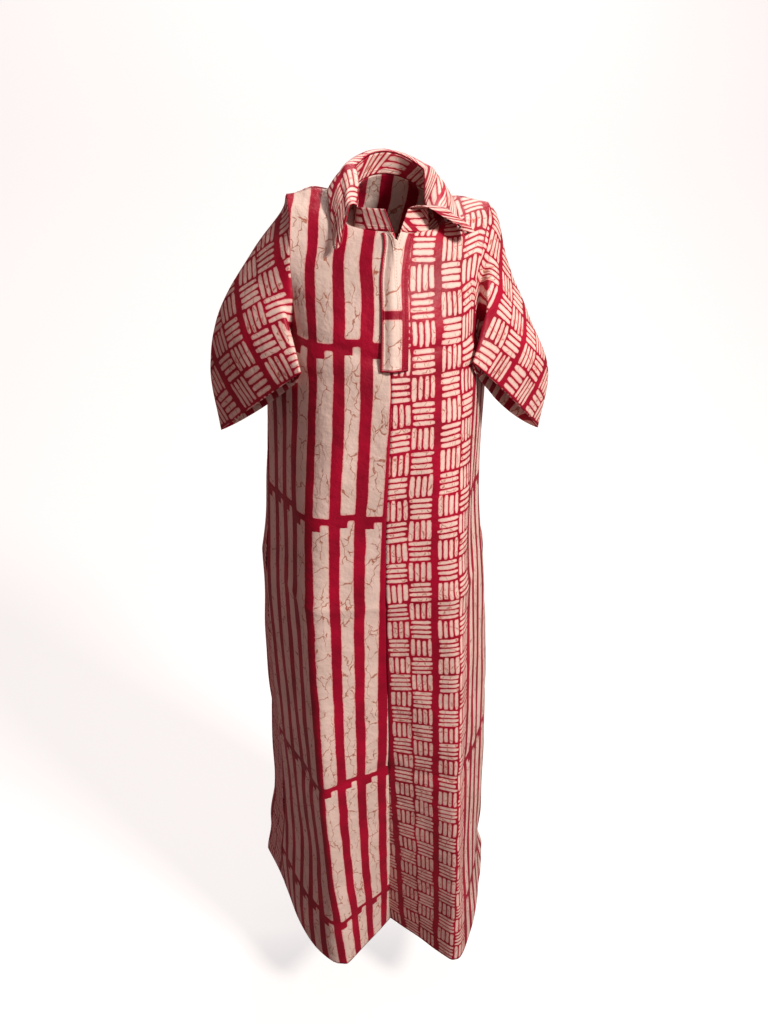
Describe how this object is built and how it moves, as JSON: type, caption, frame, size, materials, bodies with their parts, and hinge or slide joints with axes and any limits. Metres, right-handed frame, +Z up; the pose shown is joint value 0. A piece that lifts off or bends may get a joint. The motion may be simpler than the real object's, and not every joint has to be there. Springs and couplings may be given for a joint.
{
  "type": "kaftan",
  "caption": "Long short-sleeved kaftan with a pointed collar and half placket, worn, flaring from the shoulders to an open hem.",
  "frame": {"origin": "on the wearer's vertical axis at the height of the shoulder seams, where the shoulders carry the garment", "axes": "+Z up, -Y to the wearer's front, +X to the wearer's left"},
  "size_m": [0.5119, 0.3276, 1.4419],
  "materials": {
    "cloth_stripes": "polished starched cotton damask, crimson ground with cream wax-resist stripes",
    "cloth_basket": "polished starched cotton damask, crimson ground with a cream wax-resist basket-weave print",
    "cloth_cream": "polished starched cotton damask, cream with brown-red wax crackle"
  },
  "bodies": {
    "root": {"front_right": "cloth_stripes", "front_left": "cloth_basket", "back": "cloth_stripes", "sleeve_right": "cloth_basket", "sleeve_left": "cloth_basket", "collar_stand": "cloth_basket", "collar_fall": "cloth_basket", "placket_under": "cloth_cream", "placket_upper": "cloth_cream"}
  },
  "joints": []
}
